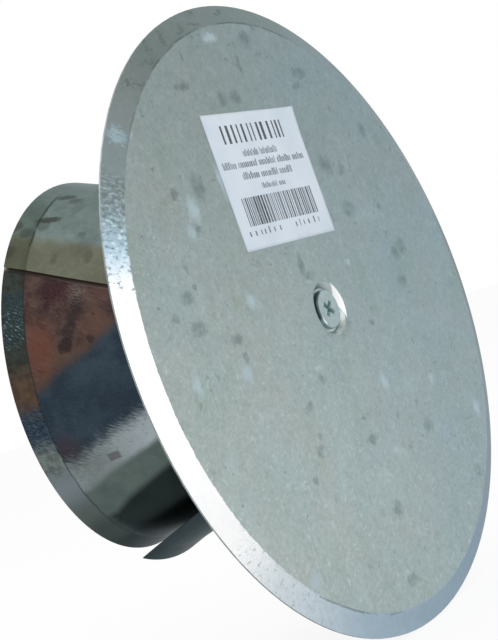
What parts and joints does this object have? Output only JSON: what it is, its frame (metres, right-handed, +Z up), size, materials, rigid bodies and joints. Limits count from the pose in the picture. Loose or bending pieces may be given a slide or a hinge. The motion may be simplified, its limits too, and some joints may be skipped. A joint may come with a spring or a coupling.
{
  "type": "flue hole cover",
  "caption": "Round sheet-metal plate that closes a flue hole, held by nested conical shells that a screw and strap spread inside the hole.",
  "frame": {"origin": "middle of the plate on the wall plane, in which the rear edge of its rim lies", "axes": "+Y into the wall along the flue hole, +Z up with the label upright, +X to the right seen from the room"},
  "size_m": [0.23, 0.1025, 0.23],
  "materials": {
    "galvanised_plate": "hot-dip galvanised sheet, semi-gloss, faint spangle and pale stains",
    "galvanised_funnel": "galvanised sheet with pressing marks, semi-gloss",
    "galvanised_strap": "galvanised flat bar, satin",
    "zinc_screw": "bright zinc plate",
    "white_paper": "matt white paper"
  },
  "bodies": {
    "root": {"cover_plate": "galvanised_plate", "centre_screw": "zinc_screw", "outer_funnel_shell": "galvanised_funnel", "inner_funnel_shell": "galvanised_funnel", "spreader_strap": "galvanised_strap", "strap_nut": "zinc_screw", "paper_label": "white_paper"}
  },
  "joints": []
}
